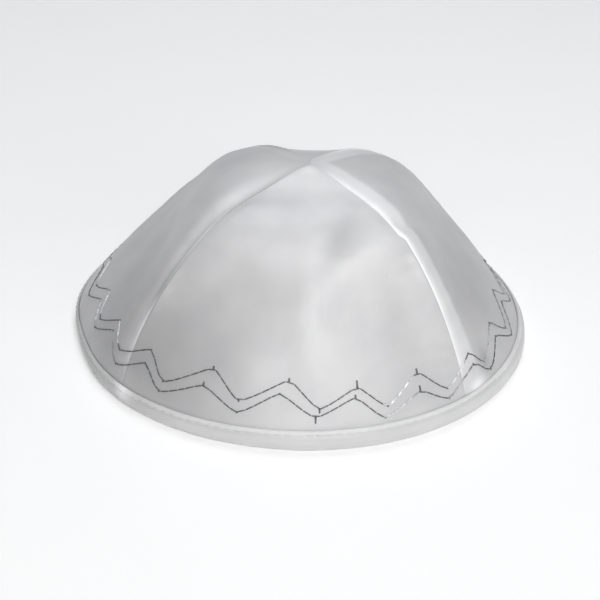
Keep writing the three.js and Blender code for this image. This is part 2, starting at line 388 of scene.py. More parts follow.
def read_row(rows: tuple[CutRow, ...], column: str, down: float) -> float:
    """Reads a column of a gore's rows at any place down it.

    Args:
        rows: the gore's rows, from the crown to the rim.
        column: the name of the row's field.
        down: the place, from 0 at the crown to 1 at the rim.

    Returns:
        The value of a smooth curve through the rows.
    """
    index = next((i for i, row in enumerate(rows) if row.down > down), len(rows) - 1) - 1
    upper, lower = rows[index], rows[index + 1]

    def slope(at: int) -> float:
        """Finds the curve's slope at a row.

        Args:
            at: the row's index.

        Returns:
            The slope from the row before it to the row after, or 0 at either end.
        """
        if at in (0, len(rows) - 1):
            return 0.0
        rise = getattr(rows[at + 1], column) - getattr(rows[at - 1], column)
        return rise / (rows[at + 1].down - rows[at - 1].down)

    span = lower.down - upper.down
    start, leave, end, arrive = curve_weights(clamp_unit((down - upper.down) / span))
    between = start * getattr(upper, column) + end * getattr(lower, column)
    return between + (leave * slope(index) + arrive * slope(index + 1)) * span


class LevelSection(NamedTuple):
    """What one level section of a gore shares all across it."""

    start_radius: float
    end_radius: float
    start_height: float
    end_height: float
    chord: float
    width: float
    round: float
    puff: float


@dataclass(frozen=True)
class Cloth:
    """The outer face of the cloth, as the sewn gores hold it."""

    rim_radius: float = 85
    crown_height: float = 66
    crown_shift: float = 2
    tip_spread: float = 2.2
    side_length: float = 112
    plan_power: float = 2.5
    rise_power: float = 1.35
    crown_radius: float = 22
    crown_power: float = 2
    shoulder_radius: float = 54
    shoulder_power: float = 4
    allowance_width: float = 7
    allowance_rise: float = 1.8
    allowance_fade: float = 14
    allowance_from: float = 0.25
    allowance_blend: float = 0.35
    upright_from: float = 0.75
    fold_fade: float = 4
    fold_hem_fade: float = 6
    binding_height: float = 7.4
    binding_sway: float = 0.9
    binding_widest_at: float = -10
    hem_tuck: float = 1.26
    dents: tuple[RimSpot, ...] = (RimSpot(-161, 13, -1.4), RimSpot(-125, 22, 0.5))
    dent_power: float = 3
    cloud_size: float = 21
    cloud_height: float = 0.42
    ripple_size: float = 7.5
    ripple_height: float = 0.07
    pucker_pitch: float = 6.5
    pucker_reach: float = 9
    pucker_height: float = 0.16
    pucker_from: float = 55
    pucker_wander: float = 5
    wander_shift: float = 3.1
    jog_down: float = 0.305
    jog_step: float = 3
    jog_length: float = 16
    jog_spread: float = 9
    jog: float = 1.5
    normal_step: float = 0.006

    def down_at_height(self, height: float) -> float:
        """How far down a seam's curve reaches a height (mm)."""
        return 2 / math.pi * math.acos((height / self.crown_height) ** (self.rise_power / 2))

    def binding_top(self, azimuth: float) -> float:
        """The height (mm) of the binding's upper edge at an azimuth."""
        sway = math.cos(math.radians(azimuth - self.binding_widest_at))
        return self.binding_height + self.binding_sway * sway

    def seam_curve(self, seam: Seam, down: float) -> tuple[float, float]:
        """Follows a seam's curve.

        Args:
            seam: the seam.
            down: the place, from 0 at the crown to 1 at the rim.

        Returns:
            The curve's radius and height, in mm.
        """
        turn = down * math.pi / 2
        radius = self.rim_radius * math.sin(turn) ** (2 / self.plan_power)
        height = self.crown_height * max(math.cos(turn), 0.0) ** (2 / self.rise_power)
        height += seam.crown * hump(radius, self.crown_radius, self.crown_power)
        height += seam.shoulder * hump(radius, self.shoulder_radius, self.shoulder_power)
        return radius, height

    @lru_cache(maxsize=4096)
    def section(self, gore: Gore, down: float) -> LevelSection:
        """Works out what a level section of a gore shares all across it.

        Args:
            gore: the gore.
            down: the place, from 0 at the crown to 1 at the rim.

        Returns:
            The section.
        """
        cut = CUTS[gore]
        start_radius, start_height = self.seam_curve(cut.first, down)
        end_radius, end_height = self.seam_curve(cut.second, down)
        start = level(cut.first.azimuth) * start_radius
        chord = (level(cut.second.azimuth) * end_radius - start).length
        inside = 1 - start_radius / self.rim_radius
        spread = self.tip_spread * abs(cut.second.side - cut.first.side) * inside**2
        return LevelSection(
            start_radius,
            end_radius,
            start_height,
            end_height,
            chord,
            chord + spread,
            read_row(cut.rows, "round", down),
            read_row(cut.rows, "puff", down),
        )

    def add_up(self, folds: tuple[Fold, ...], down: float, across: float, chord: float) -> float:
        """Adds up folds, or clouds of painted sheen and shade, at a place on a gore.

        Args:
            folds: the folds or clouds.
            down: the place down the gore.
            across: the place across it.
            chord: the gore's width there, in mm.

        Returns:
            The sum of their heights there.
        """
        offset = 0.0
        for fold in folds:
            lean = math.radians(fold.lean)
            right = (across - fold.across) * chord
            along = (down - fold.down) * self.side_length
            beside = (math.cos(lean) * right + math.sin(lean) * along) / fold.width
            ahead = (math.cos(lean) * along - math.sin(lean) * right) / fold.length
            offset += fold.height * math.exp(-(beside**2) - ahead**2)
        return offset

    def relief(self, place: Vector, edge: float, along: float, above: float) -> float:
        """The cloth's own small relief: soft clouds, ripples, and puckers beside its seams.

        Args:
            place: the point of the smooth cloth, in mm.
            edge: its distance from the nearer seam, in mm.
            along: its distance down the seam, in mm.
            above: its height above the binding, in mm.

        Returns:
            The offset outwards, in mm.
        """
        clouds = noise.noise(place / self.cloud_size) * self.cloud_height
        ripples = noise.noise(place / self.ripple_size) * self.ripple_height
        drift = Vector((self.wander_shift, 0.0, 0.0))
        wander = noise.noise(place / self.cloud_size + drift) * self.pucker_wander
        seam_fade = smooth_step(edge / self.fold_fade)
        reach = math.exp(-edge / self.pucker_reach) * smooth_step(along / self.pucker_from)
        puckers = math.sin(2 * math.pi * along / self.pucker_pitch + wander) * self.pucker_height
        offset = (clouds + ripples + puckers * reach) * seam_fade
        return offset * smooth_step(above / self.fold_hem_fade)

    def point(self, gore: Gore, down: float, across: float) -> Vector:
        """A point of the cloth's outer face.

        Args:
            gore: the gore.
            down: from 0 at the crown to 1 at the rim.
            across: from 0 on the gore's first seam to 1 on its second.

        Returns:
            The point, in mm.
        """
        cut = CUTS[gore]
        here = self.section(gore, down)
        radius = mix(here.start_radius, here.end_radius, across)
        azimuth = mix(cut.first.azimuth, cut.second.azimuth, across)
        start = level(cut.first.azimuth) * here.start_radius
        end = level(cut.second.azimuth) * here.end_radius
        point = start.lerp(end, across).lerp(level(azimuth) * radius, here.round)
        point.z = mix(here.start_height, here.end_height, across)

        edge = min(across, 1 - across) * here.chord
        above = point.z - self.binding_height - self.binding_sway
        outwards = here.puff * arch(across)
        fade = smooth_step(edge / self.fold_fade) * smooth_step(above / self.fold_hem_fade)
        outwards += self.add_up(cut.folds, down, across, here.chord) * fade
        outwards += self.relief(point, edge, down * self.side_length, above)
        if cut.allowance:
            lift = soft_minimum(edge / self.allowance_width, 1.0, self.allowance_blend)
            ramp = max(lift, 0.0) * clamp_unit(down / self.allowance_from)
            outwards += self.allowance_rise * ramp * smooth_step(above / self.allowance_fade)
        point += self.outward(gore, down) * outwards
        if FRONT_RIGHT in (cut.first, cut.second):
            beyond = across if cut.first == FRONT_RIGHT else 1 - across
            point += level(FRONT_RIGHT.azimuth + 90) * self.jog_at(down, beyond * here.chord)

        inside = 1 - radius / self.rim_radius
        point.x += self.crown_shift * inside
        point.y += self.tip_spread * mix(cut.first.side, cut.second.side, across) * inside**2
        return self.tuck_hem(self.dent_rim(point))

    def jog_at(self, down: float, beside: float) -> float:
        """How far (mm) the front right seam steps sideways below its jog.

        Args:
            down: the place down the gore.
            beside: the distance from the seam, in mm.

        Returns:
            The cloth's move away from the front gore, in mm.
        """
        below = (down - self.jog_down) * self.side_length
        step = smooth_step(below / self.jog_step) * math.exp(-max(below, 0.0) / self.jog_length)
        return self.jog * step * bell(beside, self.jog_spread)

    def outward(self, gore: Gore, down: float) -> Vector:
        """The way that a gore's middle faces: up at the crown, sideways from the shoulder down.

        Args:
            gore: the gore.
            down: the place down it.

        Returns:
            The unit direction.
        """
        tilt = clamp_unit(down / self.upright_from) * math.pi / 2
        facing = level(CUTS[gore].facing) * math.sin(tilt)
        facing.z = math.cos(tilt)
        return facing

    def dent_rim(self, point: Vector) -> Vector:
        """Moves a point out or in where the rim is out of round.

        Args:
            point: the point, in mm.

        Returns:
            The moved point.
        """
        azimuth = math.degrees(math.atan2(point.y, point.x))
        offset = sum(dent.at(azimuth) for dent in self.dents)
        share = (math.hypot(point.x, point.y) / self.rim_radius) ** self.dent_power
        return moved_out(point, offset * share)

    def tuck_hem(self, point: Vector) -> Vector:
        """Draws the hem in, so that the binding's outer face carries on the cloth's curve."""
        return moved_out(point, -self.hem_tuck * smooth_step(1 - point.z / self.binding_height))

    def surface(self, gore: Gore, down: float, across: float) -> tuple[Vector, Vector]:
        """A point of the cloth and its outward normal.

        Args:
            gore: the gore.
            down: from 0 at the crown to 1 at the rim.
            across: from 0 to 1, and a little past either end is taken as the end.

        Returns:
            The point in mm, and the unit normal.
        """
        step = self.normal_step
        middle = min(max(across, step), 1 - step)
        lengthwise = self.point(gore, down + step, middle) - self.point(gore, down - step, middle)
        sideways = self.point(gore, down, middle + step) - self.point(gore, down, middle - step)
        return self.point(gore, down, across), lengthwise.cross(sideways).normalized()


CLOTH = Cloth()


class Grain(NamedTuple):
    """A noise pattern: how fine it is, its detail, and how it is stretched."""

    scale: float
    detail: float
    stretch: Triple = EVEN


class NodeBench:
    """Builds a material's nodes from left to right."""

    def __init__(self, name: str) -> None:
        """Starts an empty material with its output.

        Args:
            name: the material's name.
        """
        self.material = bpy.data.materials.new(name)
        self.material.use_nodes = True
        self.nodes = self.material.node_tree.nodes
        self.links = self.material.node_tree.links
        self.nodes.clear()
        self.output = self.add("ShaderNodeOutputMaterial")

    def add(self, kind: str, **settings: object) -> bpy.types.Node:
        """Adds a node.

        Args:
            kind: the node's type.
            settings: the node's own settings, by name.

        Returns:
            The node.
        """
        node = self.nodes.new(kind)
        for name, value in settings.items():
            setattr(node, name, value)
        node.location = (NODE_SPACING * len(self.nodes), 0)
        return node

    def join(self, source: Socket, node: bpy.types.Node, socket: str | int) -> None:
        """Links a socket to an input of a node."""
        self.links.new(source, node.inputs[socket])

    def dial(self, node: bpy.types.Node, values: dict[str, object]) -> None:
        """Sets inputs of a node, by their names."""
        for name, value in values.items():
            node.inputs[name].default_value = value

    def shader(self, values: dict[str, object]) -> bpy.types.Node:
        """Adds the surface's shader.

        Args:
            values: its inputs that are the same all over the surface, by their names.

        Returns:
            The shader, joined to the output.
        """
        shader = self.add("ShaderNodeBsdfPrincipled")
        self.dial(shader, values)
        self.join(shader.outputs["BSDF"], self.output, "Surface")
        return shader

    def stretched(self, place: Socket, stretch: Triple) -> Socket:
        """Scales a place for a pattern.

        Args:
            place: the place.
            stretch: the scale along each of its axes.

        Returns:
            The scaled place.
        """
        mapping = self.add("ShaderNodeMapping")
        self.dial(mapping, {"Scale": stretch})
        self.join(place, mapping, "Vector")
        return mapping.outputs["Vector"]

    def cloth_place(self, stretch: Triple = EVEN) -> Socket:
        """The place on the cloth, from the piece's own map, scaled for a pattern."""
        return self.stretched(self.add("ShaderNodeUVMap", uv_map=CLOTH_UV).outputs["UV"], stretch)

    def object_place(self, stretch: Triple = EVEN) -> Socket:
        """The place in the piece's own space, scaled for a pattern."""
        return self.stretched(self.add("ShaderNodeTexCoord").outputs["Object"], stretch)

    def noise(self, place: Socket, grain: Grain) -> Socket:
        """Adds a noise pattern.

        Args:
            place: the place, already stretched.
            grain: the pattern.

        Returns:
            The pattern, as a factor.
        """
        texture = self.add("ShaderNodeTexNoise")
        self.dial(texture, {"Scale": grain.scale, "Detail": grain.detail})
        self.join(place, texture, "Vector")
        return texture.outputs["Fac"]

    def spread(self, value: Socket, low: float, high: float) -> Socket:
        """Spreads a factor over a range of numbers.

        Args:
            value: the factor.
            low: the number for its lowest values.
            high: the number for its highest.

        Returns:
            The number.
        """
        spread = self.add("ShaderNodeMapRange")
        first, last = NUMBER_RANGE
        self.dial(spread, {"From Min": first, "From Max": last, "To Min": low, "To Max": high})
        self.join(value, spread, "Value")
        return spread.outputs["Result"]

    def carried(self, name: str) -> Socket:
        """A number that each of the piece's points carries."""
        return self.add("ShaderNodeAttribute", attribute_name=name).outputs["Fac"]

    def tones(self, value: Socket, low: Triple, high: Triple) -> Socket:
        """Spreads a factor between two colours.

        Args:
            value: the factor.
            low: the colour for its lowest values.
            high: the colour for its highest.

        Returns:
            The colour.
        """
        ramp = self.add("ShaderNodeValToRGB")
        for element, position, colour in zip(ramp.color_ramp.elements, TONE_RANGE, (low, high)):
            element.position = position
            element.color = (*colour, 1.0)
        self.join(value, ramp, "Fac")
        return ramp.outputs["Color"]

    def carried_tones(self, value: Socket, low: Triple, high: Triple) -> Socket:
        """Spreads a factor between two colours, and scales them by the tone that the piece carries,
        with its painted light and shade.

        Args:
            value: the factor.
            low: the colour for its lowest values.
            high: the colour for its highest.

        Returns:
            The colour.
        """
        scaled = self.add("ShaderNodeVectorMath", operation="SCALE")
        self.join(self.tones(value, low, high), scaled, 0)
        self.join(self.carried(TONE_AND_PAINTED_LIGHT), scaled, "Scale")
        return scaled.outputs["Vector"]

    def bump(
        self,
        height: Socket,
        distance: float,
        strength: float,
        under: Socket | None = None,
    ) -> Socket:
        """Adds a bump.

        Args:
            height: the pattern's height, from 0 to 1.
            distance: the height of 1, in metres.
            strength: how strongly it shows.
            under: the normal of a bump under this one.

        Returns:
            The bumped normal.
        """
        bump = self.add("ShaderNodeBump")
        self.dial(bump, {"Distance": distance, "Strength": strength})
        self.join(height, bump, "Height")
        if under is not None:
            self.join(under, bump, "Normal")
        return bump.outputs["Normal"]


@dataclass(frozen=True)
class SatinFinish:
    """White satin: long floats of bright yarn that run down the gore."""

    name: str
    dark: Triple
    light: Triple
    smooth: float = 0.34
    rough: float = 0.44
    sheen: float = 0.05
    sheen_roughness: float = 0.4
    specular: float = 0.6
    anisotropy: float = 0.45
    clouds: Grain = Grain(55, 3)
    streaks: Grain = Grain(900, 2, (1, 0.12, 1))
    slubs: Grain = Grain(700, 2, (1, 0.1, 1))
    slub_strength: float = 0.35
    yarns_per_metre: float = 4200
    yarn_height: float = 0.00003
    yarn_strength: float = 0.25
    yarn_wander: float = 0.6
    yarn_detail: float = 1

    def material(self) -> bpy.types.Material:
        """Mixes the cloth's weave, its clouds of tone, the painted light and shade that the piece
        carries, and its sheen.

        Returns:
            The material.
        """
        bench = NodeBench(self.name)
        shader = bench.shader(
            {
                "Sheen Weight": self.sheen,
                "Sheen Roughness": self.sheen_roughness,
                "Specular IOR Level": self.specular,
                "Anisotropic": self.anisotropy,
            }
        )
        clouds = bench.noise(bench.cloth_place(), self.clouds)
        # The carried tone scales the base colour, which brings in the painted light and shade.
        bench.join(bench.carried_tones(clouds, self.dark, self.light), shader, "Base Color")
        streaks = bench.noise(bench.cloth_place(self.streaks.stretch), self.streaks)
        bench.join(bench.spread(streaks, self.smooth, self.rough), shader, "Roughness")
        yarns = bench.add("ShaderNodeTexWave", wave_type="BANDS", bands_direction="X")
        bench.dial(
            yarns,
            {
                "Scale": self.yarns_per_metre / math.tau,
                "Distortion": self.yarn_wander,
                "Detail": self.yarn_detail,
            },
        )
        bench.join(bench.cloth_place(), yarns, "Vector")
        weave = bench.bump(yarns.outputs["Fac"], self.yarn_height, self.yarn_strength)
        slubs = bench.noise(bench.cloth_place(self.slubs.stretch), self.slubs)
        normal = bench.bump(slubs, self.yarn_height, self.slub_strength, under=weave)
        bench.join(normal, shader, "Normal")
        tangent = bench.add("ShaderNodeTangent", direction_type="UV_MAP", uv_map=CLOTH_UV)
        bench.join(tangent.outputs["Tangent"], shader, "Tangent")
        return bench.material


@dataclass(frozen=True)
class ThreadFinish:
    """A twisted thread, silver or plain."""

    name: str
    dark: Triple
    light: Triple
    metallic: float
    roughness: float
    roughness_spread: float = 0.15
    mottle: Grain = Grain(600, 2)
    twists_per_metre: float = 1500
    twist_height: float = 0.00008
    twist_strength: float = 0.6

    def material(self) -> bpy.types.Material:
        """Mixes the thread's twist, its changing tone and the painted glints that the piece carries.

        Returns:
            The material.
        """
        bench = NodeBench(self.name)
        shader = bench.shader({"Metallic": self.metallic})
        mottle = bench.noise(bench.object_place(), self.mottle)
        bench.join(bench.carried_tones(mottle, self.dark, self.light), shader, "Base Color")
        roughest = self.roughness + self.roughness_spread
        bench.join(bench.spread(mottle, self.roughness, roughest), shader, "Roughness")
        twist = bench.add("ShaderNodeTexWave", wave_type="BANDS", bands_direction="DIAGONAL")
        bench.dial(twist, {"Scale": self.twists_per_metre / math.tau})
        bench.join(bench.object_place(), twist, "Vector")
        normal = bench.bump(twist.outputs["Fac"], self.twist_height, self.twist_strength)
        bench.join(normal, shader, "Normal")
        return bench.material


@dataclass(frozen=True)
class FloorFinish:
    """The studio's pale paper floor."""

    name: str = "pale_paper"
    tone: float = 0.95
    tone_spread: float = 0.01
    glow: float = 0.16
    roughness: float = 0.9
    specular: float = 0.1
    grain: Grain = Grain(30, 4)

    def material(self) -> bpy.types.Material:
        """Mixes a matt white with a trace of paper grain and a faint glow.

        Returns:
            The material.
        """
        bench = NodeBench(self.name)
        shader = bench.shader(
            {
                "Roughness": self.roughness,
                "Specular IOR Level": self.specular,
                "Emission Color": (*WHITE, 1.0),
                "Emission Strength": self.glow,
            }
        )
        low, high = (self.tone - self.tone_spread,) * 3, (self.tone,) * 3
        grain = bench.noise(bench.object_place(), self.grain)
        bench.join(bench.tones(grain, low, high), shader, "Base Color")
        return bench.material


SATIN = SatinFinish("white_satin", (0.53, 0.53, 0.545), (0.6, 0.6, 0.605))
TAPE = SatinFinish("satin_tape", (0.56, 0.56, 0.57), (0.61, 0.61, 0.61), anisotropy=0.2)
SILVER = ThreadFinish("silver_thread", (0.11, 0.11, 0.115), (0.2, 0.2, 0.205), 0.45, 0.3)
COTTON = ThreadFinish("sewing_thread", (0.62, 0.62, 0.61), (0.7, 0.7, 0.69), 0.0, 0.5)


def make_piece(
    name: str, mesh: bmesh.types.BMesh, material: bpy.types.Material, sharp: float
) -> bpy.types.Object:
    """Turns a finished mesh into a piece that rides on the cap.

    Args:
        name: the piece's name.
        mesh: its mesh, in metres, which is freed here.
        material: its material.
        sharp: the angle in degrees past which an edge is shaded sharp.

    Returns:
        The piece, with its object at the origin.
    """
    for face in mesh.faces:
        face.smooth = True
    for edge in mesh.edges:
        edge.smooth = edge.calc_face_angle(0.0) < math.radians(sharp)
    data = bpy.data.meshes.new(name)
    mesh.to_mesh(data)
    mesh.free()
    data.materials.append(material)
    piece = bpy.data.objects.new(name, data)
    bpy.context.scene.collection.objects.link(piece)
    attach(piece, BODY)
    return piece


def mapped_grid(
    columns: int, rows: int, place: Callable[[int, int], ClothSpot]
) -> bmesh.types.BMesh:
    """Makes a grid and lays it on a surface, with the place on the cloth as its map.

    Args:
        columns: the number of points across.
        rows: the number of points down.
        place: gives the cloth's spot at a column and a row.

    Returns:
        The mesh, in metres, with points that meet made one and its faces turned alike.
    """
    mesh = bmesh.new()
    layer = mesh.loops.layers.uv.new(CLOTH_UV)
    # Each point carries its tone, with painted light and shade laid into it.
    tone = mesh.verts.layers.float.new(TONE_AND_PAINTED_LIGHT)
    bmesh.ops.create_grid(
        mesh, x_segments=columns - 1, y_segments=rows - 1, size=HALF_GRID, calc_uvs=True
    )
    flat = {}
    for vertex in mesh.verts:
        column = round((HALF_GRID - vertex.co.x) * (columns - 1))
        row = round((HALF_GRID + vertex.co.y) * (rows - 1))
        spot = place(column, row)
        vertex.co = spot.point * MM
        vertex[tone] = spot.tone
        flat[vertex] = (spot.flat[0] * MM, spot.flat[1] * MM)
    for face in mesh.faces:
        for loop in face.loops:
            loop[layer].uv = flat[loop.vert]
    bmesh.ops.remove_doubles(mesh, verts=mesh.verts, dist=SAME_POINT)
    bmesh.ops.recalc_face_normals(mesh, faces=mesh.faces)
    return mesh


@dataclass(frozen=True)
class SatinGore:
    """One gore of satin, its edges turned down into the seams."""

    gore: Gore
    flat_width: float = 135
    flat_length: float = 113
    flat_area: float = 8900
    thickness: float = 0.7
    turn: float = 0.75
    crown_closed: float = 0.12
    open_from: float = 0.3
    hem_height: float = 1.26
    # Where the painted line along the seam edges starts, where it turns to its lower strength, and
    # that lower strength, a painted highlight.
    edge_starts: float = 0.1
    edge_light_from: float = 0.5
    edge_light_fade: float = 0.15
    lower_painted_edge: float = 0.26
    strip_rise: float = 13
    least_width: float = 0.001
    strips_a_width: float = 4
    turns_a_width: float = 5
    edge_places: tuple[float, ...] = (
        *(0, 0.05, 0.14, 0.28, 0.48, 0.75, 1.2, 1.9, 2.8),
        *(3.8, 4.8, 5.6, 6.2, 6.7, 7.2, 7.8, 8.6, 9.6),
    )
    ridge_downs: tuple[float, ...] = (0, 0.0002, 0.0005, 0.001, 0.0017, 0.003, 0.005)
    tip_downs: tuple[float, ...] = (0, 0.0012, 0.0025, 0.0045)
    body_rows: int = 126
    body_columns: int = 74

    def downs(self) -> list[float]:
        """Spaces the rows down the gore.

        Returns:
            The places, from 0 at the crown to the hem.
        """
        last = CLOTH.down_at_height(self.hem_height)
        start = self.ridge_downs if CUTS[self.gore].allowance else self.tip_downs
        shares = [row / self.body_rows for row in range(1, self.body_rows + 1)]
        return [*start, *(mix(start[-1], last, share) for share in shares)]

    def acrosses(self, down: float) -> list[float]:
        """Spaces the columns across the gore.

        Args:
            down: the place down it.

        Returns:
            The places, from 0 to 1, close together near both seams.
        """
        width = max(CLOTH.section(self.gore, down).width, self.least_width)
        squeeze = min(1.0, width / (self.strips_a_width * self.edge_places[-1]))
        edge = [place * squeeze / width for place in self.edge_places]
        middle = [
            mix(edge[-1], 1 - edge[-1], column / self.body_columns)
            for column in range(1, self.body_columns)
        ]
        return [*edge, *middle, *(1 - place for place in reversed(edge))]

    def opened(self, down: float) -> float:
        """How far the seams have opened at a place down the gore: they close towards the crown."""
        return mix(self.crown_closed, 1.0, smooth_step(down / self.open_from))

    def turned_down(self, distance: float, width: float, down: float) -> float:
        """Rolls the cloth down into its seam.

        Args:
            distance: the distance from the sewn edge, in mm.
            width: the gore's width there, in mm.
            down: the place down the gore.

        Returns:
            The drop, in mm.
        """
        turn = min(self.turn * self.opened(down), width / self.turns_a_width)
        inside = max(turn - distance, 0.0)
        return turn - math.sqrt(turn**2 - inside**2)

    def tone(self, down: float, across: float, edge: float, height: float) -> float:
        """How light the cloth looks, where 1 is a single layer, with painted light and shade laid in.

        Args:
            down: the place down the gore.
            across: the place across it.
            edge: the distance from the nearer seam, in mm.
            height: the height above the surface that the cap stands on, in mm.

        Returns:
            The factor of the cloth's own tone.
        """
        cut = CUTS[self.gore]
        strip = cut.strip
        rise = smooth_step((height - CLOTH.binding_height) / self.strip_rise)
        # Lighter over the doubled allowances; on the right gore part of this is painted light.
        beside = smooth_step((strip.width + strip.fade / 2 - edge) / strip.fade) * strip.lightness
        lower = smooth_step((down - self.edge_light_from) / self.edge_light_fade)
        # The painted line right along the seam: painted shade on the left gore's upper part, a painted
        # highlight elsewhere.
        brink = mix(strip.edge, self.lower_painted_edge, lower) if cut.allowance else 0.0
        brink *= bell(edge, strip.edge_width) * smooth_step(down / self.edge_starts)
        chord = CLOTH.section(self.gore, down).chord
        # Clouds of painted sheen and painted shade are added last.
        return 1 + (beside + brink) * rise + CLOTH.add_up(cut.clouds, down, across, chord)

    def place(self, down: float, across: float) -> ClothSpot:
        """Finds a spot of the gore's face.

        Args:
            down: the place down the gore.
            across: the place across it.

        Returns:
            The spot, with its edges rolled down and its seams open by their gaps.
        """
        cut = CUTS[self.gore]
        here = CLOTH.section(self.gore, down)
        point = CLOTH.point(self.gore, down, across)
        edge = min(across, 1 - across) * here.width
        tone = self.tone(down, across, edge, point.z)
        if cut.allowance:
            edge = min(edge, here.start_radius)
        point -= CLOTH.outward(self.gore, down) * self.turned_down(edge, here.width, down)
        is_tip = down == 0 and not cut.allowance
        open_share = self.opened(down)
        first_gap = cut.first.half_gap * open_share * (1 if is_tip else 1 - across)
        second_gap = cut.second.half_gap * open_share * (1 if is_tip else across)
        point += level(cut.first.azimuth + 90) * first_gap
        point += level(cut.second.azimuth - 90) * second_gap
        flat = ((across - 0.5) * here.width, -down * CLOTH.side_length)
        return ClothSpot(point, flat, tone)

    def build(self, material: bpy.types.Material) -> bpy.types.Object:
        """Builds the gore and puts it in place of its solid.

        Args:
            material: the satin's material.

        Returns:
            The piece.
        """
        downs = self.downs()
        places = [self.acrosses(down) for down in downs]
        mesh = mapped_grid(
            len(places[0]),
            len(downs),
            lambda column, row: self.place(downs[row], places[row][column]),
        )
        facing = sum((face.normal * face.calc_area() for face in mesh.faces), Vector())
        if facing.dot(CLOTH.outward(self.gore, 0.5)) < 0:
            bmesh.ops.reverse_faces(mesh, faces=mesh.faces)
        mesh.normal_update()
        inner = [(vertex, vertex.normal * (self.thickness * MM)) for vertex in mesh.verts]
        bmesh.ops.extrude_face_region(mesh, geom=mesh.faces[:])
        for vertex, wall in inner:
            vertex.co -= wall
        piece = make_piece(f"satin_{self.gore.value}", mesh, material, CLOTH_SHARP)
        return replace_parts(piece, self.gore.node)


class ProfilePoint(NamedTuple):
    """A point of the binding's section: its offset from the cloth and its height, in mm."""

    offset: float
    height: float

    def rounded(self, radius: float, turn: float) -> "ProfilePoint":
        """The point of a circle round this one, at a turn in degrees from level outwards."""
        x, y = math.cos(math.radians(turn)), math.sin(math.radians(turn))
        return ProfilePoint(self.offset + radius * x, self.height + radius * y)


